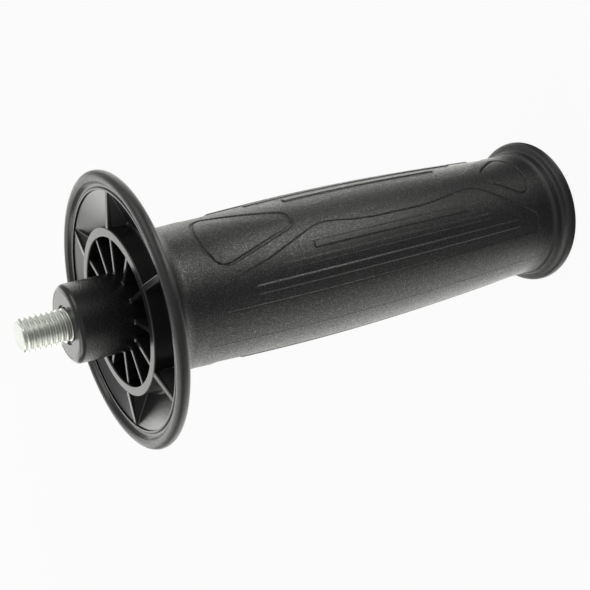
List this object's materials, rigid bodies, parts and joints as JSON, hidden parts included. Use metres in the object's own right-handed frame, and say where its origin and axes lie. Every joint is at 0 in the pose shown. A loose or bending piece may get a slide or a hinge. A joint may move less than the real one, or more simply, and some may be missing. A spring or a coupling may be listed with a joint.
{
  "type": "power tool side handle",
  "caption": "Round grip with sunk pads, a ribbed hand-guard flange and a collar, moulded on a short threaded stud that screws into a power tool's gear housing.",
  "frame": {"origin": "centre of the collar's flat foot, on the handle's axis", "axes": "+Z along the handle's axis from the foot to the threaded stud; the two patterned faces look along -Y and +Y, with the mould's parting plane at y = 0"},
  "size_m": [0.0656, 0.0656, 0.1482],
  "materials": {
    "black_nylon": "fine spark-eroded grain on the grip, smoother and glossier on the flange, ring and boss",
    "zinc_plated_steel": "bright zinc plating on a rolled thread"
  },
  "bodies": {
    "root": {"handle_body": "black_nylon", "threaded_stud": "zinc_plated_steel"}
  },
  "joints": []
}
